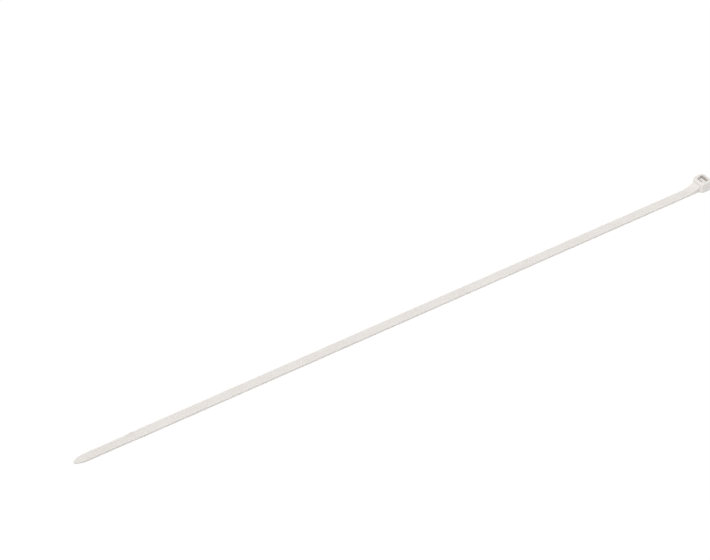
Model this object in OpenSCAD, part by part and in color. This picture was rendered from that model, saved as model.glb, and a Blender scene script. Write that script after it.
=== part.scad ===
// Cable tie, moulded in one piece: a toothed strap, a pointed tail, and a head with a slot and a pawl.
// It lies flat with its teeth down. The slot stands over the origin and the strap runs towards -X.
// All sizes are in millimetres, with +Z up.

/* [Strap] */
// Overall length, from the far end of the head to the tip
tie_l = 370; // [200:1:550]
// Width of the strap
strap_w = 4.8; // [4.4:0.1:7.6]
// Thickness of the strap over its rails
strap_t = 1.3; // [1.2:0.05:1.8]
// Radius along the two upper edges of the strap
strap_edge_r = 0.3; // [0.1:0.05:0.5]
// Width of the plain rail on each side of the teeth
rail_w = 0.6; // [0.4:0.05:0.9]

/* [Ratchet teeth] */
// Distance from one tooth to the next
tooth_pitch = 1.1; // [1:0.05:1.6]
// Height of a tooth, from root to crest
tooth_h = 0.5; // [0.35:0.05:0.6]
// Flat on each crest, and in each root
tooth_land = 0.16; // [0.1:0.02:0.3]
// Lean of the steep flank, from root to crest
flank_lean = 0.06; // [0:0.02:0.12]
// Depth of the crests behind the faces of the rails
crest_drop = 0.05; // [0.02:0.01:0.1]
// Distance from the slot to the first tooth
teeth_start = 13; // [10:0.5:30]

/* [Tail] */
// Length of the plain tail, with its point
tail_l = 27; // [20:1:60]
// Length over which the strap runs down to the tail
tail_run = 6; // [3:0.5:12]
// How much narrower the tail is than the strap
tail_narrow = 0.5; // [0:0.1:0.8]
// How much thinner the tail is than the strap
tail_thin = 0.3; // [0.1:0.05:0.4]
// Length of the pointed tip
tip_l = 6; // [4:0.5:10]
// Radius of the rounded nose at the tip
nose_r = 0.5; // [0.3:0.1:0.8]
// Thickness at the very tip
nose_t = 0.6; // [0.4:0.05:0.8]
// Number of grip grooves across each face of the tail
grip_count = 8; // [0:1:9]
// Distance from one grip groove to the next
grip_pitch = 1.5; // [1.2:0.1:1.6]
// Depth of a grip groove
grip_depth = 0.15; // [0.05:0.05:0.25]

/* [Head] */
// Height of the head from its bearing face to its exit face
head_h = 5.4; // [5:0.1:8]
// Wall on each side of the slot
side_wall = 1.5; // [1.2:0.1:2.5]
// Wall at the far end, which backs the strap in the slot
far_wall = 1.9; // [1.5:0.1:3]
// Wall between the pawl's pocket and the strap's root
root_wall = 1.7; // [1.2:0.1:3]
// Radius of the head's upright corners
corner_r = 1.9; // [1.3:0.1:2.2]
// Radius round the rim of the exit face
crown_r = 0.6; // [0.3:0.1:0.8]
// Chamfer round the rim of the bearing face
foot_chamfer = 0.25; // [0.1:0.05:0.4]
// Draft of each outer wall over its whole height
head_draft = 0.2; // [0:0.05:0.4]
// Height of the lip that the far wall has on the exit face
lip_h = 0.4; // [0.2:0.1:0.8]
// Thickness of that lip
lip_t = 0.9; // [0.6:0.1:1]

/* [Neck] */
// Length of the thickened neck, from the head along the strap
neck_l = 8; // [5:0.5:12]
// Height that the neck gains where it meets the head
neck_rise = 2.2; // [1:0.1:2.8]
// Radius of the hollow shoulders between head and strap
shoulder_r = 1.5; // [0.8:0.1:2.5]
// Height of the neck's back above the shoulders
shoulder_drop = 0.5; // [0.4:0.1:0.9]

/* [Slot and pawl] */
// Clearance all round the strap in the slot
slot_gap = 0.2; // [0.1:0.05:0.3]
// Lead-in chamfer round the slot's mouth
mouth_chamfer = 0.5; // [0.2:0.1:0.8]
// Length of the pocket behind the slot, in which the pawl swings
pocket_l = 2.2; // [2:0.1:3]
// Radius of the pocket's corners and of the pawl's top
pocket_r = 0.3; // [0.1:0.05:0.4]
// Clearance on each side of the pawl in its pocket
pawl_gap = 0.25; // [0.15:0.05:0.35]
// Clearance on each side between the pawl and the strap's rails
rail_gap = 0.1; // [0.05:0.05:0.2]
// Thickness of the plate that carries the pawl at the bearing face
plate_t = 0.85; // [0.6:0.05:1.1]
// Thickness of the pawl's living hinge
hinge_t = 0.5; // [0.4:0.05:0.7]
// Shortest length of that hinge
hinge_l = 0.45; // [0.3:0.05:0.6]
// Distance of the hinge's front behind the slot
hinge_back = 0.15; // [0.1:0.05:0.3]
// Chamfer behind the hinge, where it meets the plate
hinge_flare = 0.2; // [0.1:0.05:0.25]
// Thickness of the pawl behind its teeth
pawl_t = 1.15; // [0.9:0.05:1.2]
// How far the pawl's top tooth stands into the slot
pawl_reach = 0.7; // [0.4:0.05:0.9]
// Depth of the pawl's tip below the exit face
pawl_drop = 0.8; // [0.5:0.1:1.2]

/* [Hidden] */
nylon = [0.93, 0.91, 0.88];
// Smoothness of the round edges
$fn = 48;
// Steps in each rounded rim
rim_steps = 4;
// How far the neck's shoulders run into the head's walls
shoulder_sink = 0.2;
// How far a cutter runs past the face that it opens, and a joined piece into its neighbour
over = 0.5;

// The slot is a clearance larger than the strap, and the walls stand round it
slot_w = strap_w + 2 * slot_gap;
slot_t = strap_t + 2 * slot_gap;
pocket_x = -slot_t / 2 - pocket_l;
head_w = slot_w + 2 * side_wall;
head_far = slot_t / 2 + far_wall;
head_near = pocket_x - root_wall;
corner_y = head_w / 2 - corner_r;

// Places along the strap, counted from the slot
tip_x = head_far - tie_l;
shoulder_x = tip_x + tip_l;
tail_x = tip_x + tail_l;
run_x = tail_x + tail_run;
neck_x = head_near - neck_l;
sweep_r = (pow(neck_l, 2) + pow(neck_rise, 2)) / (2 * neck_rise);
tail_w = strap_w - tail_narrow;

// The teeth lie in a band between the rails, and stop where the strap starts to run down
band_w = strap_w - 2 * rail_w;
root_z = crest_drop + tooth_h;
tooth_count = floor((-teeth_start - run_x) / tooth_pitch);

// The pawl fits between the rails, and has as many teeth as its height has room for
pawl_w = band_w - 2 * rail_gap;
pocket_w = pawl_w + 2 * pawl_gap;
pawl_top = head_h - pawl_drop;
pawl_teeth = floor((pawl_top - plate_t - hinge_l) / tooth_pitch);
pawl_foot = pawl_top - pawl_teeth * tooth_pitch;
pawl_front = -slot_t / 2 + pawl_reach - tooth_h;
hinge_front = -slot_t / 2 - hinge_back;
hinge_rear = hinge_front - hinge_t;

// Points along a round corner
function arc(centre, r, from, to, steps = rim_steps) =
    [for (i = [0:steps]) let (a = from + (to - from) * i / steps) centre + r * [cos(a), sin(a)]];

// The same outline on the other side of the vertical axis, in the opposite order
function mirrored(points) =
    [for (i = [len(points) - 1:-1:0]) [-points[i][0], points[i][1]]];

// Outer wall of the head, measured from a corner's upright axis: foot, drafted wall and crown
head_wall = concat(
    [[corner_r - foot_chamfer, 0], [corner_r, foot_chamfer]],
    arc([corner_r - head_draft - crown_r, head_h - crown_r], crown_r, 0, 90)
);

// Outline of the head between two such walls, whose corners have their axes at low and high
function head_outline(low, high) = concat(
    [for (p = head_wall) [high + p[0], p[1]]],
    mirrored([for (p = head_wall) [p[0] - low, p[1]]])
);

// Draws an outline in X and Z, and gives it a width centred on Y
module across(width) {
    rotate([90, 0, 0])
        linear_extrude(height = width, center = true)
            children();
}

// Draws an outline in Y and Z, and extends it along X, with its first face exactly at from
module along(from, to) {
    translate([from, 0, 0])
        rotate([90, 0, 90])
            mirror([0, 0, from > to ? 1 : 0])
                linear_extrude(height = abs(to - from))
                    children();
}

// A rectangle with round corners, from its lowest corner to its highest
module round_rect(low, high, r) {
    size = high - low;
    translate(low + [r, 0]) square([size[0] - 2 * r, size[1]]);
    translate(low + [0, r]) square([size[0], size[1] - 2 * r]);
    for (x = [low[0] + r, high[0] - r], y = [low[1] + r, high[1] - r])
        translate([x, y]) circle(r);
}

// One upright corner of the head, a quarter turn of its wall
module head_corner(x, y, turn) {
    translate([x, y, 0])
        rotate([0, 0, turn])
            rotate_extrude(angle = 90)
                polygon(concat([[0, 0]], head_wall, [[0, head_h]]));
}

// The head as a block with rounded corners and rims, before its slot is cut. Each length of it starts at
// the axes of two corners, so that their faces meet, and the two lengths overlap at the slot.
module head_block() {
    far_x = head_far - corner_r;
    near_x = head_near + corner_r;
    across(2 * corner_y) polygon(head_outline(near_x, far_x));
    along(far_x, -over) polygon(head_outline(-corner_y, corner_y));
    along(near_x, over) polygon(head_outline(-corner_y, corner_y));
    head_corner(far_x, corner_y, 0);
    head_corner(near_x, corner_y, 90);
    head_corner(near_x, -corner_y, 180);
    head_corner(far_x, -corner_y, 270);
}

// The lip on the exit face, where the far wall backs the strap: upright at the slot, and sloping outwards
module anvil_lip() {
    top_z = head_h + lip_h;
    intersection() {
        across(head_w) polygon([
            [slot_t / 2, head_h - over], [slot_t / 2, top_z], [slot_t / 2 + lip_t / 2, top_z],
            [slot_t / 2 + lip_t, head_h], [slot_t / 2 + lip_t, head_h - over]
        ]);
        along(0, head_far) polygon([
            [-slot_w / 2, head_h - over], [slot_w / 2, head_h - over], [slot_w / 2, head_h],
            [slot_w / 2 - lip_h, top_z], [lip_h - slot_w / 2, top_z], [-slot_w / 2, head_h]
        ]);
    }
}

// Sweeps a section, drawn in Y and Z, up from the strap into the head on one arc
module swept_up() {
    centre_z = strap_t + sweep_r;
    intersection() {
        translate([neck_x, 0, centre_z])
            rotate([90, 90, 0])
                rotate_extrude(angle = 90)
                    translate([centre_z, 0])
                        rotate([0, 0, 90])
                            children();
        translate([neck_x, -head_w / 2, 0])
            cube([neck_l + root_wall / 2, head_w, strap_t + neck_rise + over / 2]);
    }
}

// Hollow shoulders in the corners between the neck and the head, which cross both walls at a slight angle
module shoulders() {
    corner_x = head_near + corner_r;
    inner_r = corner_r - max(foot_chamfer, head_draft) - shoulder_sink;
    side_y = strap_w / 2 - shoulder_sink / 2;
    hollow_y = side_y + shoulder_r;
    reach = sqrt(pow(inner_r + shoulder_r, 2) - pow(hollow_y - corner_y, 2));
    hollow_x = corner_x - reach;
    share = inner_r / (inner_r + shoulder_r);
    touch = [corner_x - share * reach, corner_y + share * (hollow_y - corner_y)];
    intersection() {
        swept_up()
            translate([-touch[1], -neck_rise - over])
                square([2 * touch[1], strap_t - shoulder_drop + neck_rise + over]);
        linear_extrude(height = head_h)
            difference() {
                polygon([
                    [hollow_x, -side_y], [touch[0], -touch[1]], [corner_x, -touch[1]],
                    [corner_x, touch[1]], touch, [hollow_x, side_y]
                ]);
                for (side = [-1, 1])
                    translate([hollow_x, side * hollow_y]) circle(shoulder_r);
            }
    }
}

// The neck carries the strap's own section up to the head
module neck() {
    swept_up() strap_section(neck_rise + over);
    shoulders();
}

// Plan of the strap, the tail that narrows, and the pointed tip between two arcs
module strap_plan() {
    half = tail_w / 2;
    arc_r = (pow(tip_l - nose_r, 2) + pow(half, 2) - pow(nose_r, 2)) / (2 * (half - nose_r));
    turn = asin((tip_l - nose_r) / (arc_r - nose_r));
    side = concat(
        arc([tip_x + nose_r, 0], nose_r, 180, 90 + turn),
        arc([shoulder_x, half - arc_r], arc_r, 90 + turn, 90, 2 * rim_steps),
        [[tail_x, half], [run_x, strap_w / 2], [head_near, strap_w / 2]]
    );
    polygon(concat(side, [for (i = [len(side) - 1:-1:1]) [side[i][0], -side[i][1]]]));
}

// Side view of the strap, which thins on both faces towards its tail, and again to its tip
module strap_side() {
    under = [
        [tip_x, (strap_t - nose_t) / 2], [shoulder_x, tail_thin / 2],
        [tail_x, tail_thin / 2], [run_x, 0], [head_near, 0]
    ];
    polygon(concat(under, [for (i = [len(under) - 1:-1:0]) [under[i][0], strap_t - under[i][1]]]));
}

// Section of the strap, with its upper edges rounded, and carried on below the bearing face by depth
module strap_section(depth = 0) {
    flat_y = strap_w / 2 - strap_edge_r;
    translate([-strap_w / 2, -depth]) square([strap_w, depth + strap_t - strap_edge_r]);
    translate([-flat_y, -depth]) square([2 * flat_y, depth + strap_t]);
    for (side = [-1, 1])
        translate([side * flat_y, strap_t - strap_edge_r]) circle(strap_edge_r);
}

module strap_blank() {
    intersection() {
        along(neck_x, tip_x - over) strap_section();
        linear_extrude(height = strap_t) strap_plan();
        across(strap_w) strap_side();
    }
}

// Cutter for the whole row of teeth: a steep flank faces the head, and a ramp faces the tail
module tooth_row() {
    steps = [for (i = [0:tooth_count - 1], p = [
        [flank_lean, root_z],
        [0, crest_drop],
        [-tooth_land, crest_drop],
        [flank_lean + tooth_land - tooth_pitch, root_z]
    ]) [p[0] - teeth_start - i * tooth_pitch, p[1]]];
    start = [flank_lean + tooth_land - teeth_start, root_z];
    end = steps[len(steps) - 1];
    across(band_w)
        polygon(concat([[start[0], -over], start], steps, [[end[0], -over]]));
}

// Grooves across both faces of the tail, for fingers to grip
module tail_grips() {
    for (i = [0:1:grip_count - 1], face = [0, 1])
        translate([shoulder_x + (i + 1) * grip_pitch, 0, face * strap_t])
            mirror([0, 0, face])
                across(strap_w)
                    polygon([
                        [-grip_depth - tail_thin / 2, 0],
                        [0, grip_depth + tail_thin / 2],
                        [grip_depth + tail_thin / 2, 0]
                    ]);
}

// The way through the head for the strap, with a lead-in at its mouth, and the pawl's pocket
module slot_and_pocket() {
    flare_z = mouth_chamfer + over;
    translate([-slot_t / 2, -slot_w / 2, -over])
        cube([slot_t, slot_w, head_h + lip_h + 2 * over]);
    intersection() {
        across(slot_w + 2 * flare_z) polygon([
            [-slot_t / 2, -over], [slot_t / 2 + flare_z, -over],
            [slot_t / 2, mouth_chamfer], [-slot_t / 2, mouth_chamfer]
        ]);
        along(-slot_t / 2, slot_t / 2 + flare_z) polygon([
            [-slot_w / 2 - flare_z, -over], [slot_w / 2 + flare_z, -over],
            [slot_w / 2, mouth_chamfer], [-slot_w / 2, mouth_chamfer]
        ]);
    }
    translate([0, 0, plate_t])
        linear_extrude(height = head_h)
            round_rect([pocket_x, -pocket_w / 2], [0, pocket_w / 2], pocket_r);
}

// The pawl stands on its hinge and leans into the slot, its steep flanks towards the exit
module pawl() {
    lean = (pawl_front - hinge_front) / (pawl_top - pawl_foot);
    teeth = [for (i = [1:pawl_teeth], p = [[tooth_h, -tooth_land], [tooth_h, 0], [0, 0]])
        let (z = pawl_foot + i * tooth_pitch)
            [hinge_front + lean * (z - pawl_foot) + p[0], z + p[1]]];
    back_x = pawl_front - pawl_t;
    across(pawl_w) polygon(concat(
        [[hinge_front, plate_t - over], [hinge_front, pawl_foot]],
        teeth,
        arc([back_x + pocket_r, pawl_top - pocket_r], pocket_r, 90, 180),
        [[back_x, pawl_foot + tooth_pitch], [hinge_rear, plate_t + hinge_l],
         [hinge_rear, plate_t + hinge_flare], [hinge_rear - hinge_flare, plate_t],
         [hinge_rear - hinge_flare, plate_t - over]]
    ));
}

module cable_tie() {
    color(nylon) {
        difference() {
            union() {
                head_block();
                anvil_lip();
                neck();
                strap_blank();
            }
            slot_and_pocket();
            tooth_row();
            tail_grips();
        }
        pawl();
    }
}

cable_tie();
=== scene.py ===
# %% [markdown]
# A natural nylon cable tie, dressed for its picture.
#
# A cable tie is moulded in one shot: strap, tail, head and the small pawl inside the head are one
# piece of milky nylon. The CAD model already has the true form of all of them, down to the teeth.
# Blender's work here is what the CAD leaves out: the soft edges that a mould gives, the small marks
# that moulding leaves behind, the milky look of nylon, and light that shows it.

# %% Load the moulding that the CAD made
import math
import random

import bmesh
import bpy
from mathutils import Matrix, Quaternion, Vector


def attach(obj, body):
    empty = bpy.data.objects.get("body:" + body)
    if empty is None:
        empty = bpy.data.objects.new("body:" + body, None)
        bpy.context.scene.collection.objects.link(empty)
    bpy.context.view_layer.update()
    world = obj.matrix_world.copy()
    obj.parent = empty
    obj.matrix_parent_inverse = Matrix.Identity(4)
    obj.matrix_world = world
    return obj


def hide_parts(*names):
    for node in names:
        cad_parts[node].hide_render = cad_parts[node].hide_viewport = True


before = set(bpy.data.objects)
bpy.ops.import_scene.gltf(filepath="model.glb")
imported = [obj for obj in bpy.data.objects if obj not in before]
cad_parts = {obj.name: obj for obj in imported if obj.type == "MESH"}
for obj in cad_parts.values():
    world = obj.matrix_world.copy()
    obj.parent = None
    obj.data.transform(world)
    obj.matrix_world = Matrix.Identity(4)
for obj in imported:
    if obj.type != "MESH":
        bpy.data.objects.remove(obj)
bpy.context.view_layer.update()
scene = bpy.context.scene
MM = 0.001


def in_mm(lengths):
    return [round(length / MM, 2) for length in lengths]


# %% [markdown]
# The picture looks down on the tie at 40 degrees, with the head at the right, far from the camera,
# and the tail at the lower left. A long lens from 1.4 m away keeps both ends almost the same size,
# as in a catalogue shot. A camera can be placed by hand in the viewport, but a few values say the
# same thing and can be changed one by one: the point it looks at, the direction and the distance.

# %% Place the camera
CAMERA_AZIMUTH = math.radians(-33.74)
CAMERA_ELEVATION = math.radians(40)
CAMERA_DISTANCE = 1400 * MM
CAMERA_LENS = 144.97
CAMERA_SENSOR = 36
LOOK_AT = Vector((-188.66, 36.90, 0)) * MM

towards_camera = Vector((
    math.sin(CAMERA_AZIMUTH) * math.cos(CAMERA_ELEVATION),
    -math.cos(CAMERA_AZIMUTH) * math.cos(CAMERA_ELEVATION),
    math.sin(CAMERA_ELEVATION),
))
camera = bpy.data.objects.new("camera", bpy.data.cameras.new("camera"))
camera.data.sensor_width = CAMERA_SENSOR
camera.data.lens = CAMERA_LENS
camera.location = LOOK_AT + towards_camera * CAMERA_DISTANCE
camera.rotation_mode = "QUATERNION"
camera.rotation_quaternion = towards_camera.to_track_quat("Z", "Y")
scene.collection.objects.link(camera)
scene.camera = camera
scene.view_settings.view_transform = "Standard"
print("the camera stands at, in mm:", in_mm(camera.location))

# %% [markdown]
# Blender's materials are networks of nodes. Written out node by node they are hard to read, so two
# small classes let the rest of this file write them as sums. A Value is a number that changes over a
# surface, and adding, subtracting or comparing Values adds the Math nodes that do it. Python asks for
# the reflected forms, such as __rsub__, when the plain number stands first, as in 1 - mask. A Finish
# is a material, and its one method adds any other node: it takes the node's type, its settings, and
# what goes into its sockets, as plain numbers or as Values.

# %% A Value, which is a number that changes over a surface
class Value:
    def __init__(self, finish, socket):
        self.finish = finish
        self.socket = socket

    def output(self, name):
        """Another output of the same node."""
        return Value(self.finish, self.socket.node.outputs[name])

    def maths(self, operation, *numbers):
        return self.finish.node(
            "ShaderNodeMath", {"operation": operation}, dict(enumerate(numbers))
        )

    def __add__(self, other):
        return self.maths("ADD", self, other)

    def __sub__(self, other):
        return self.maths("SUBTRACT", self, other)

    def __rsub__(self, other):
        return self.maths("SUBTRACT", other, self)

    def __mul__(self, other):
        return self.maths("MULTIPLY", self, other)

    def __truediv__(self, other):
        return self.maths("DIVIDE", self, other)

    def __rtruediv__(self, other):
        return self.maths("DIVIDE", other, self)

    def __mod__(self, other):
        return self.maths("FLOORED_MODULO", self, other)

    def __rmod__(self, other):
        return self.maths("FLOORED_MODULO", other, self)

    def __gt__(self, other):
        return self.maths("GREATER_THAN", self, other)

    def __lt__(self, other):
        return self.maths("LESS_THAN", self, other)

    def __abs__(self):
        return self.maths("ABSOLUTE", self)

    __radd__ = __add__
    __rmul__ = __mul__

    def or_larger(self, other):
        return self.maths("MAXIMUM", self, other)


print("a Value can be added, subtracted, multiplied, divided and compared")


# %% A Finish, which is a material that nodes are added to
# A Mix node has sockets of one name for numbers, vectors and colours, so these go by their places.
MIX_AMOUNT = 0
MIX_LOW = 6
MIX_HIGH = 7
MIX_RESULT = 2


class Finish:
    def __init__(self, owner):
        owner.use_nodes = True
        self.tree = owner.node_tree
        self.tree.nodes.clear()

    def node(self, kind, settings=None, sockets=None, out=0):
        """Adds any node: settings first, then what goes in, and gives the output that is asked for."""
        made = self.tree.nodes.new(kind)
        for name, setting in (settings or {}).items():
            setattr(made, name, setting)
        for name, value in (sockets or {}).items():
            if isinstance(value, Value):
                self.tree.links.new(value.socket, made.inputs[name])
            else:
                made.inputs[name].default_value = value
        return Value(self, made.outputs[out]) if made.outputs else None

    def blend(self, amount, low, high):
        """Mixes two colours, from all low at 0 to all high at 1."""
        sockets = {MIX_AMOUNT: amount, MIX_LOW: low, MIX_HIGH: high}
        return self.node("ShaderNodeMix", {"data_type": "RGBA"}, sockets, out=MIX_RESULT)

    def step(self, value, start, end):
        """Runs smoothly from 0 to 1 as value goes from start to end."""
        return self.node(
            "ShaderNodeMapRange",
            {"interpolation_type": "SMOOTHSTEP"},
            {"Value": value, "From Min": start, "From Max": end},
        )


print("a Finish can add a node, a blend of two colours and a smooth step")

# %% [markdown]
# The floor and the air around it are plain white. White paper under even light is what a product
# shot has, and it also matters for the tie: nylon lets light through, so much of the light inside it
# comes from the floor below and the sky above. The world is dimmer than white for lighting, and pure
# white where the camera, a reflection or a see-through ray meets it. The floor does the same with a
# trace of glow that only those rays see, so it is white and still takes a soft shadow.

# %% Light the room from everywhere
ROOM_LIGHT = 0.64
WHITE = (1, 1, 1, 1)


def seen_directly(finish):
    """1 where the camera, a reflection or a ray through clear material looks, and 0 for lighting."""
    by_camera = finish.node("ShaderNodeLightPath", out="Is Camera Ray")
    by_gloss = by_camera.output("Is Glossy Ray")
    through = by_camera.output("Is Transmission Ray")
    return by_camera.or_larger(by_gloss).or_larger(through)


room = bpy.data.worlds.new("white_room")
scene.world = room
air = Finish(room)
strength = ROOM_LIGHT + seen_directly(air) * (1 - ROOM_LIGHT)
sky = air.node("ShaderNodeBackground", None, {"Color": WHITE, "Strength": strength})
air.node("ShaderNodeOutputWorld", None, {"Surface": sky})
print("the room gives", ROOM_LIGHT, "of full white")

# %% Lay the floor
FLOOR_DROP = 0.02 * MM
FLOOR_HALF = 4000 * MM
PAPER_WHITE = (0.93, 0.93, 0.93, 1)
PAPER_GLOW = 0.09

corners = [
    (x * FLOOR_HALF, y * FLOOR_HALF, -FLOOR_DROP)
    for x, y in ((-1, -1), (1, -1), (1, 1), (-1, 1))
]
floor_mesh = bpy.data.meshes.new("floor")
floor_mesh.from_pydata(corners, [], [(0, 1, 2, 3)])
floor = bpy.data.objects.new("floor", floor_mesh)
scene.collection.objects.link(floor)

paper = bpy.data.materials.new("white_paper")
sheet = Finish(paper)
matt = sheet.node("ShaderNodeBsdfDiffuse", None, {"Color": PAPER_WHITE})
glow = sheet.node(
    "ShaderNodeEmission", None, {"Color": WHITE, "Strength": seen_directly(sheet) * PAPER_GLOW}
)
both = sheet.node("ShaderNodeAddShader", None, {0: matt, 1: glow})
sheet.node("ShaderNodeOutputMaterial", None, {"Surface": both})
floor.data.materials.append(paper)
print("the floor is", round(2 * FLOOR_HALF), "m wide")

# %% [markdown]
# One broad lamp, high up, to the left and on the camera's side, gives the top faces more light than
# the sides and draws a short soft shadow. A sun lamp is used and not an area lamp: it lights the whole
# length evenly, so the tone of the nylon doesn't fall away from head to tail. Its wide angle stands
# for a large softbox.

# %% Hang the softbox
SOFTBOX_POWER = 1.25
SOFTBOX_WIDTH = math.radians(28)
TOWARDS_SOFTBOX = Vector((-0.48, -0.12, 1.0))

softbox = bpy.data.lights.new("softbox", "SUN")
softbox.energy = SOFTBOX_POWER
softbox.angle = SOFTBOX_WIDTH
softbox_lamp = bpy.data.objects.new("softbox", softbox)
softbox_lamp.rotation_euler = TOWARDS_SOFTBOX.to_track_quat("Z", "Y").to_euler()
scene.collection.objects.link(softbox_lamp)
off_plumb = math.degrees(TOWARDS_SOFTBOX.angle(Vector((0, 0, 1))))
print("the softbox stands", round(off_plumb), "degrees off plumb")

# %% [markdown]
# The moulding comes from the CAD solid, so every size and every tooth is already right. What it
# doesn't have is the softness of a real moulding: no edge of moulded nylon is truly sharp. The CAD
# mesh also comes in split, with separate corners for each face. So its mesh is copied, its corners
# are welded, and triangles that lie in one plane are joined into one face. The faces have to be that
# clean before any edge can be rounded.

# %% Copy the CAD mesh and clean it
WELD = 0.001 * MM
FLAT_WITHIN = math.radians(0.6)


def join_flat_faces(mesh):
    bmesh.ops.dissolve_limit(
        mesh, angle_limit=FLAT_WITHIN, verts=mesh.verts, edges=mesh.edges, delimit=set()
    )
    bmesh.ops.recalc_face_normals(mesh, faces=mesh.faces)


def tally(mesh):
    """What to print of a mesh. A closed skin has no open edge."""
    open_edges = sum(not edge.is_manifold for edge in mesh.edges)
    return f"{len(mesh.verts)} corners, {len(mesh.faces)} faces, {open_edges} open edges"


cad_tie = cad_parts["cable_tie"]
body = bmesh.new()
body.from_mesh(cad_tie.data)
bmesh.ops.remove_doubles(body, verts=body.verts, dist=WELD)
join_flat_faces(body)
print("welded:", tally(body))

# %% [markdown]
# The neck sweeps up from the strap to the head on one arc. The CAD holds that arc exactly, but its
# mesh has only a few flats along it, and smooth nylon shows each of them. A subdivision modifier would
# round the teeth and the slot too. So the neck's back is skinned again: the mesh is sliced across the
# neck every half millimetre, the old skin is taken off, and rows of new corners on the true arc are
# stitched together from the strap to the head. The arc follows from the neck's length and its rise.

# %% Measure the neck's arc
NECK_START = -12.75 * MM
NECK_LENGTH = 8.0 * MM
NECK_RISE = 2.2 * MM
STRAP_TOP = 1.3 * MM
STRAP_HALF = 2.4 * MM
ROUNDING = 0.3 * MM
FLAT_HALF = STRAP_HALF - ROUNDING

arc_radius = (NECK_LENGTH ** 2 + NECK_RISE ** 2) / (2 * NECK_RISE)
arc_centre = STRAP_TOP + arc_radius
print("the neck's arc has a radius, in mm, of", *in_mm([arc_radius]))

# %% Say where the neck's skin lies
MESH_ERROR = 0.1 * MM


def neck_skin(x, way):
    """A point of the skin. way runs from the middle of the back, over the rounding, to the side."""
    turn = max(0, abs(way) - FLAT_HALF) / ROUNDING
    drop = ROUNDING * (1 - math.cos(turn))
    y = min(abs(way), FLAT_HALF) + ROUNDING * math.sin(turn)
    z = arc_centre - math.sqrt((arc_radius + drop) ** 2 - (x - NECK_START) ** 2)
    return Vector((x, math.copysign(y, way), z))


def way_of(p):
    """Where on the skin a point lies, in the measure that neck_skin takes."""
    drop = math.hypot(p.x - NECK_START, p.z - arc_centre) - arc_radius
    out = max(0, abs(p.y) - FLAT_HALF)
    turn = math.atan2(out, max(0, ROUNDING - drop)) if out > WELD else 0
    return math.copysign(min(abs(p.y), FLAT_HALF) + ROUNDING * turn, p.y)


def on_neck(p):
    """Whether a corner of the CAD mesh is part of the skin, as its flats lie a little off the arc."""
    return (neck_skin(p.x, way_of(p)) - p).length < MESH_ERROR


print("the skin starts at, in mm:", in_mm(neck_skin(NECK_START, 0)))

# %% Slice the neck and take its old skin off
SLICE = 0.49 * MM
SLICES = 16
ON_THE_CUT = 0.001 * WELD


def slice_mesh(mesh, parts, through, across):
    bmesh.ops.bisect_plane(
        mesh, geom=parts, dist=ON_THE_CUT, plane_co=through, plane_no=across
    )


def row_at(x):
    """The corners of one row, from one side of the neck to the other."""
    row = [v for v in neck_verts if v.is_valid and abs(v.co.x - x) < WELD]
    return sorted(row, key=lambda v: way_of(v.co))


rows_x = [NECK_START + i * SLICE for i in range(SLICES + 1)]
for x in rows_x:
    slice_mesh(body, body.verts[:] + body.edges[:] + body.faces[:], (x, 0, 0), (1, 0, 0))
neck_verts = [
    v for v in body.verts
    if rows_x[0] - WELD < v.co.x < rows_x[-1] + WELD and on_neck(v.co)
]
old_skin = [f for f in body.faces if all(v in neck_verts for v in f.verts)]
first_row, last_row = row_at(rows_x[0]), row_at(rows_x[-1])
print("taken off:", len(old_skin), "faces")

bmesh.ops.delete(body, geom=old_skin, context="FACES")
neck_verts = [v for v in neck_verts if v.is_valid]
between = [v for v in neck_verts if min(abs(v.co.x - x) for x in rows_x) > WELD]
bmesh.ops.dissolve_verts(body, verts=between)

# %% Stitch the new skin on
SAME_WAY = 5 * WELD


def stitch(row, other):
    """Joins two rows, with a square where both go on by the same way and a triangle elsewhere."""
    i = j = 0
    while i < len(row) - 1 or j < len(other) - 1:
        next_i = way_of(row[i + 1].co) if i < len(row) - 1 else math.inf
        next_j = way_of(other[j + 1].co) if j < len(other) - 1 else math.inf
        move_i = next_i < next_j + SAME_WAY
        move_j = next_j < next_i + SAME_WAY
        body.faces.new(row[i:i + 1 + move_i] + other[j:j + 1 + move_j][::-1])
        i, j = i + move_i, j + move_j


ways = [way_of(v.co) for v in first_row]
for v in last_row:
    v.co = neck_skin(v.co.x, way_of(v.co))
row = first_row
for x in rows_x[1:-1]:
    side_a, *_, side_b = row_at(x)
    side_a.co = neck_skin(x, ways[0])
    side_b.co = neck_skin(x, ways[-1])
    made = [body.verts.new(neck_skin(x, way)) for way in ways[1:-1]]
    next_row = [side_a] + made + [side_b]
    stitch(row, next_row)
    row = next_row
stitch(row, last_row)
join_flat_faces(body)
print("new skin of", SLICES, "rows of", len(ways), "corners:", tally(body))

# %% [markdown]
# Steel moulds are cut with round tools and polished, so each outer edge of the moulding is a little
# round: 0.03 mm on the teeth, which need the finest tools, and up to 0.08 mm on the head and strap. A
# Bevel modifier could do this too, but it has one width for all edges, and these need three, so the
# edges are picked by where they lie. Only edges that point outwards are rounded: an inner corner of
# the moulding is an outer edge of the mould's steel, and stays crisp.

# %% Round the edges as the mould does
SHARP_FROM = math.radians(32)
TOOTH_ROUND = 0.03 * MM
SLOT_ROUND = 0.05 * MM
OUTER_ROUND = 0.08 * MM
TOOTH_BAND = 1.82 * MM
TEETH_FROM = -12.9 * MM
TEETH_TO = -334.3 * MM
TOOTH_ROOF = 0.58 * MM
SLOT_NEAR = -3.1 * MM
SLOT_FAR = 0.9 * MM
SLOT_SIDE = 2.65 * MM


def in_teeth(p):
    return abs(p.y) < TOOTH_BAND and TEETH_TO < p.x < TEETH_FROM and p.z < TOOTH_ROOF


def in_slot(p):
    return SLOT_NEAR < p.x < SLOT_FAR and abs(p.y) < SLOT_SIDE


def elsewhere(p):
    return not in_teeth(p) and not in_slot(p)


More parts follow.
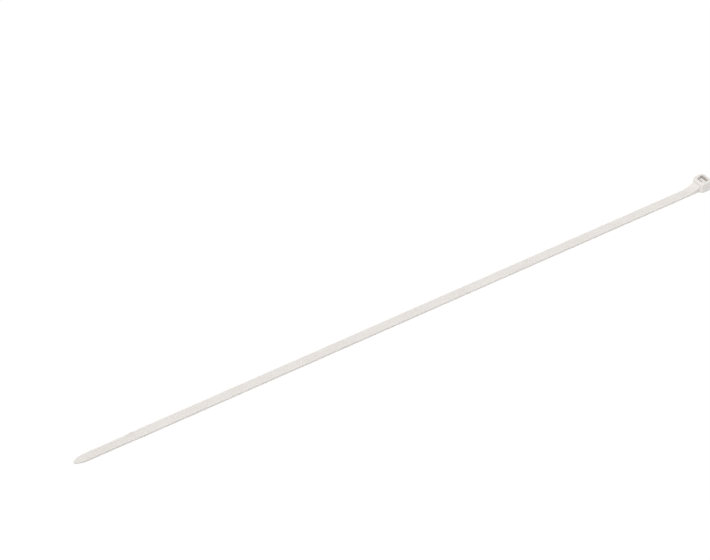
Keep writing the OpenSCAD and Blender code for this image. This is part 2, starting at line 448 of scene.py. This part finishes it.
def round_edges(mesh, radius, belongs, steps):
    edges = [
        e for e in mesh.edges
        if e.is_manifold and e.is_convex and e.calc_face_angle(0) > SHARP_FROM
        and all(belongs(v.co) for v in e.verts)
    ]
    bmesh.ops.bevel(
        mesh, geom=edges, offset=radius, offset_type="OFFSET", segments=steps,
        profile=0.5, affect="EDGES", clamp_overlap=False,
    )
    return len(edges)


print("edges rounded on the teeth:", round_edges(body, TOOTH_ROUND, in_teeth, 1))
print("edges rounded in the slot and on the pawl:", round_edges(body, SLOT_ROUND, in_slot, 2))
print("edges rounded on head and strap:", round_edges(body, OUTER_ROUND, elsewhere, 2))

# %% [markdown]
# A moulding carries the marks of its mould. The pins that push it out leave a row of shallow round
# dents on the back of the strap. The nylon came in through a gate in the head's far wall and broke
# off there inside a small dish, so that the stub can't catch. Dents and dish are cut and the stub is
# added with a Boolean modifier, which keeps the moulding one closed skin. A bump in the material would
# only fake them. First they all need a short round rod, and the stub needs one with a broken end.

# %% Shape a rod to cut or add
UPRIGHT = Quaternion()
OUTWARDS = Quaternion((0, 1, 0), math.radians(90))
ROD_SIDES = 40
MIDDLE_DROP = 0.2
SEED = 7


def rod(radius, low, high, spin, where, rough=0.0, sides=ROD_SIDES):
    """A round rod along its own Z, from low to high, with a broken end where rough isn't 0."""
    made = bmesh.new()
    chance = random.Random(SEED)
    ends = []
    for z in (low, high):
        rim = []
        for k in range(sides):
            a = math.tau * k / sides
            jag = rough * chance.random() if z == high else 0
            rim.append(made.verts.new((radius * math.cos(a), radius * math.sin(a), z - jag)))
        ends.append(rim)
    foot, top = ends
    made.faces.new(foot[::-1])
    peak = made.verts.new((0, 0, high - rough * MIDDLE_DROP))
    for k in range(sides):
        after = (k + 1) % sides
        made.faces.new((foot[k], foot[after], top[after], top[k]))
        made.faces.new((top[k], top[after], peak))
    made.transform(Matrix.Translation(where) @ spin.to_matrix().to_4x4())
    return made


print("a rod turned outwards points along", in_mm(OUTWARDS @ Vector((0, 0, MM))))

# %% Cut the dents of the pins
PIN_RADIUS = 1.1 * MM
PIN_DEPTH = 0.04 * MM
PIN_FIRST = -34 * MM
PIN_SPACING = 58 * MM
PIN_COUNT = 6
ROD_CLEAR = 1 * MM


def combine(base, tool, operation):
    """Cuts one mesh with another, or joins them, and gives the result as a new mesh to work on."""
    pieces = []
    for name, mesh in (("base", base), ("tool", tool)):
        data = bpy.data.meshes.new(name)
        mesh.to_mesh(data)
        mesh.free()
        pieces.append(bpy.data.objects.new(name, data))
        scene.collection.objects.link(pieces[-1])
    boolean = pieces[0].modifiers.new("combine", "BOOLEAN")
    boolean.object = pieces[1]
    boolean.operation = operation
    boolean.solver = "EXACT"
    result = bmesh.new()
    result.from_object(pieces[0], bpy.context.evaluated_depsgraph_get())
    for piece in pieces:
        data = piece.data
        bpy.data.objects.remove(piece)
        bpy.data.meshes.remove(data)
    return result


for k in range(PIN_COUNT):
    pin_at = Vector((PIN_FIRST - k * PIN_SPACING, 0, STRAP_TOP))
    pin = rod(PIN_RADIUS, -PIN_DEPTH, ROD_CLEAR, UPRIGHT, pin_at)
    body = combine(body, pin, "DIFFERENCE")
print("with", PIN_COUNT, "dents:", tally(body))

# %% Cut the gate's dish and add its stub
GATE_AT = Vector((2.655, 0, 2.4)) * MM
DISH_RADIUS = 1.15 * MM
DISH_DEPTH = 0.14 * MM
STUB_RADIUS = 0.42 * MM
STUB_ROUGH = 0.09 * MM
STUB_SIDES = 18

dish = rod(DISH_RADIUS, -DISH_DEPTH, ROD_CLEAR, OUTWARDS, GATE_AT)
body = combine(body, dish, "DIFFERENCE")
stub = rod(STUB_RADIUS, -2 * DISH_DEPTH, 0, OUTWARDS, GATE_AT, STUB_ROUGH, STUB_SIDES)
body = combine(body, stub, "UNION")
print("with the gate's mark:", tally(body))

# %% [markdown]
# Where the two halves of the mould meet, a hairline of nylon stands along the sides of the strap. It
# is only a fiftieth of a millimetre proud, and it catches the light as a fine straight line. It could
# be a thin strip laid on, but then the skin would cross itself. So the side walls are sliced three
# times along their length and once at each end of the line, and the corners of the middle slice are
# moved out.

# %% Raise the parting line along the strap's sides
PARTING_HEIGHT = 0.25 * MM
PARTING_HALF = 0.03 * MM
PARTING_PROUD = 0.02 * MM
PARTING_NEAR = -5.3 * MM
PARTING_FAR = -335 * MM
WALLS_NEAR = -2.65 * MM
WALLS_FAR = -341 * MM
FACES_SIDEWAYS = 0.9


def is_side_wall(face):
    middle = face.calc_center_bounds()
    upright = abs(face.normal.y) > FACES_SIDEWAYS
    along = WALLS_FAR < middle.x < WALLS_NEAR
    return upright and along and FLAT_HALF < abs(middle.y) < STRAP_HALF + WELD


def on_ridge(p):
    level = abs(p.z - PARTING_HEIGHT) < WELD
    along = PARTING_FAR - WELD < p.x < PARTING_NEAR + WELD
    return level and along and abs(abs(p.y) - STRAP_HALF) < WELD


cuts = [((0, 0, PARTING_HEIGHT + k * PARTING_HALF), (0, 0, 1)) for k in (-1, 0, 1)]
cuts += [((x, 0, 0), (1, 0, 0)) for x in (PARTING_NEAR, PARTING_FAR)]
for through, across in cuts:
    walls = [f for f in body.faces if is_side_wall(f)]
    # fromkeys drops the repeats and keeps the order, so each run gives the same mesh.
    edges = dict.fromkeys(e for f in walls for e in f.edges)
    corners = dict.fromkeys(v for f in walls for v in f.verts)
    slice_mesh(body, walls + list(edges) + list(corners), through, across)
ridge = [v for v in body.verts if on_ridge(v.co)]
for v in ridge:
    v.co.y += math.copysign(PARTING_PROUD, v.co.y)
print("parting line of", len(ridge), "raised corners:", tally(body))

# %% [markdown]
# The mesh is now finished, and becomes one object that stands for the CAD solid and moves with its
# body. Smooth shading blends the light over neighbouring faces, which is right over a rounding and
# wrong across a crease. So each edge that turns more than a limit is kept as a crease. Inner corners
# aren't rounded and get the lower limit. The modifier then lets the large faces at each corner count
# for more in its shading, and 60, where 50 is neutral, for a little more still, so that flat walls
# stay flat up to their rounded edges.

# %% Make the piece and let it stand for the CAD solid
INSIDE_CREASE = math.radians(25)
OUTSIDE_CREASE = math.radians(50)
LARGE_FACES_COUNT = 60

for face in body.faces:
    face.smooth = True
for edge in body.edges:
    crease = OUTSIDE_CREASE if edge.is_convex else INSIDE_CREASE
    edge.smooth = edge.calc_face_angle(0) < crease
print("creases kept:", sum(not edge.smooth for edge in body.edges))

tie_mesh = bpy.data.meshes.new("tie_moulding")
body.to_mesh(tie_mesh)
body.free()
tie = bpy.data.objects.new("tie_moulding", tie_mesh)
scene.collection.objects.link(tie)
even_shading = tie.modifiers.new("even_shading", "WEIGHTED_NORMAL")
even_shading.keep_sharp = True
even_shading.weight = LARGE_FACES_COUNT
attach(tie, "root")
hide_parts("cable_tie")
print("tie:", len(tie_mesh.vertices), "corners,", len(tie_mesh.polygons), "faces")

# %% [markdown]
# Natural nylon is milky: light goes in, wanders about a millimetre, and comes out again, so thin
# places glow and edges look soft. That is subsurface scattering, and it is the same all over, so it
# is set once on the shader. What changes over the tie is small, and all of it is worked out from the
# place of a point: its x along the tie, y across it and z up, and which way the surface faces there.

# %% Measure the place and the way the surface faces
nylon = bpy.data.materials.new("natural_nylon")
milk = Finish(nylon)

place = milk.node("ShaderNodeTexCoord", out="Object")
x = milk.node("ShaderNodeSeparateXYZ", None, {"Vector": place}, out="X")
y = x.output("Y")
z = x.output("Z")
normal = milk.node("ShaderNodeNewGeometry", out="Normal")
facing_up = milk.node("ShaderNodeSeparateXYZ", None, {"Vector": normal}, out="Z")


def noise(scale, detail, stretch=(1, 1, 1), roughness=0.5):
    where = milk.node("ShaderNodeMapping", None, {"Vector": place, "Scale": stretch})
    return milk.node("ShaderNodeTexNoise", None, {
        "Vector": where, "Scale": scale, "Detail": detail, "Roughness": roughness
    })


print("the nylon starts with", len(milk.tree.nodes), "nodes")

# %% [markdown]
# From the smooth back, the teeth under the strap show through as a faint ladder: the web between two
# teeth is thinner and lets more light past. Scattering alone shows it only in strong light from
# below, so it is helped along by painted light: a lighter tone painted on the thin web. A stripe that
# repeats needs no picture: the place along the strap, divided by the pitch of the teeth, leaves a
# remainder that runs from 0 to 1 in each tooth, and a step leaves the middle of that dark and makes
# its ends light.

# %% Paint light on the ladder where the teeth show through the back
TOOTH_PITCH = 1.1 * MM
FIRST_TOOTH = -13.0 * MM
LAST_TOOTH = -334.0 * MM
WEB_STEP = (0.22, 0.40)
BAND_EDGE = (1.95 * MM, 1.55 * MM)
BACK_FACES = (0.6, 0.95)
BACK_ABOVE = 1.0 * MM

along_tooth = ((x - FIRST_TOOTH) % TOOTH_PITCH) / TOOTH_PITCH
web = milk.step(abs(along_tooth - 0.5), *WEB_STEP)
in_row = milk.step(x, FIRST_TOOTH, FIRST_TOOTH - TOOTH_PITCH) * (x > LAST_TOOTH)
in_band = milk.step(abs(y), *BAND_EDGE)
on_back = milk.step(facing_up, *BACK_FACES) * (z > BACK_ABOVE)
ladder = web * in_row * in_band * on_back
print("the ladder has about", round((FIRST_TOOTH - LAST_TOOTH) / TOOTH_PITCH), "rungs")

# %% [markdown]
# The colour is an off-white with a little cream in it. It is very slightly cloudy, as the nylon cools
# at a different rate from place to place. The thick head is painted a touch lighter, as painted light
# for the light it throws back more than the thin strap. Inside the slot a darker cream is painted on
# as shade, for the light that has bounced from wall to wall and taken on some of the cream each time.
# Each of these is a mask from 0 to 1, and the colours are blended in one after the other.

# %% Mix the colour of the nylon, with painted light on the head and painted shade in the slot
STRAP_CREAM = (0.778, 0.742, 0.708, 1)
STRAP_MILK = (0.800, 0.766, 0.734, 1)
# Painted light: a lighter tone on the thin web between teeth, for light from below showing through.
WEB_PAINTED_LIGHT = (0.834, 0.804, 0.775, 1)
# Painted light: the thick head is made a touch lighter for the light it throws back.
HEAD_PAINTED_LIGHT = (0.808, 0.778, 0.752, 1)
# Painted shade: a darker cream inside the slot, where shade falls between its walls.
SLOT_PAINTED_SHADE = (0.70, 0.64, 0.56, 1)
HEAD_STARTS = (-14 * MM, -6 * MM)
SLOT_NEAR_FADE = (-3.15 * MM, -2.9 * MM)
SLOT_FAR_FADE = (0.95 * MM, 0.7 * MM)
SLOT_SIDE_FADE = (2.62 * MM, 2.3 * MM)
SLOT_TOP_FADE = (5.3 * MM, 3.6 * MM)
SLOT_FOOT_FADE = (0.2 * MM, 0.6 * MM)
CLOUD_SCALE = 70
CLOUD_STEP = (0.35, 0.65)
WEB_SHOWS = 0.45
HEAD_SHOWS = 0.7
SLOT_SHADE_SHOWS = 0.35

clouds = milk.step(noise(CLOUD_SCALE, 3), *CLOUD_STEP)
thick = milk.step(x, *HEAD_STARTS)
in_length = milk.step(x, *SLOT_NEAR_FADE) * milk.step(x, *SLOT_FAR_FADE)
in_width = milk.step(abs(y), *SLOT_SIDE_FADE)
# Mask of the painted shade inside the slot, away from its mouth and foot.
painted_slot_shade = in_length * in_width * milk.step(z, *SLOT_TOP_FADE) * milk.step(z, *SLOT_FOOT_FADE)

tone = milk.blend(clouds, STRAP_CREAM, STRAP_MILK)
# Painted light on the web between teeth.
tone = milk.blend(ladder * WEB_SHOWS, tone, WEB_PAINTED_LIGHT)
# Painted light on the thick head.
tone = milk.blend(thick * HEAD_SHOWS, tone, HEAD_PAINTED_LIGHT)
# Painted shade inside the slot.
tone = milk.blend(painted_slot_shade * SLOT_SHADE_SHOWS, tone, SLOT_PAINTED_SHADE)
print("five tones are blended with", len(milk.tree.nodes), "nodes so far")

# %% [markdown]
# The mould is polished, but not like glass. Along the strap the gloss changes in long faint streaks,
# where the melt flowed, and over all there is a fine grain that breaks up reflections. The toothed
# side is cut by a coarser tool and is duller. The noise that makes the streaks is the same noise as
# any other, stretched along the tie by reading it more slowly in x.

# %% Give it the gloss and the fine grain of the mould
STREAK_SCALE = 260
STREAK_STRETCH = (0.06, 1.0, 1.0)
STREAK_STEP = (0.3, 0.7)
GRAIN_SCALE = 5200
GRAIN_DEPTH = 0.01 * MM
GRAIN_STRENGTH = 0.25
FLOW_SHARE = 0.7
TOOTHED_FACES = (-0.5, -0.9)
MOULD_ROUGHNESS = 0.34
STREAK_ROUGHNESS = 0.08
TOOTHED_ROUGHNESS = 0.10
HEAD_ROUGHNESS = 0.04

flow = noise(STREAK_SCALE, 3, STREAK_STRETCH)
grain = noise(GRAIN_SCALE, 2, roughness=0.6)
streaks = milk.step(flow, *STREAK_STEP)
toothed_side = milk.step(facing_up, *TOOTHED_FACES)
roughness = (
    MOULD_ROUGHNESS + streaks * STREAK_ROUGHNESS + toothed_side * TOOTHED_ROUGHNESS
    + thick * HEAD_ROUGHNESS
)
relief = flow * FLOW_SHARE + grain * (1 - FLOW_SHARE)
bump = milk.node("ShaderNodeBump", None, {
    "Strength": GRAIN_STRENGTH, "Distance": GRAIN_DEPTH, "Height": relief
})
print("gloss and grain bring it to", len(milk.tree.nodes), "nodes")

# %% [markdown]
# All of this goes into one Principled shader. Six tenths of its colour comes from light that has
# wandered inside the nylon, about 0.9 mm deep, and the rest from the skin itself: with more, the thin
# strap turns mottled. The scattering could reach further for red than for blue, as it does in skin or
# wax, but nylon scatters all colours alike, so the three radii are equal.

# %% Put the nylon on the tie
NYLON_IOR = 1.53
MILKINESS = 0.6
SCATTER_DEPTH = 0.9 * MM

skin = milk.node("ShaderNodeBsdfPrincipled", None, {
    "Base Color": tone,
    "Roughness": roughness,
    "Normal": bump,
    "IOR": NYLON_IOR,
    "Subsurface Weight": MILKINESS,
    "Subsurface Radius": (1.0, 1.0, 1.0),
    "Subsurface Scale": SCATTER_DEPTH,
})
milk.node("ShaderNodeOutputMaterial", None, {"Surface": skin})
tie.data.materials.clear()
tie.data.materials.append(nylon)
print("the nylon has", len(milk.tree.nodes), "nodes and", len(milk.tree.links), "links")
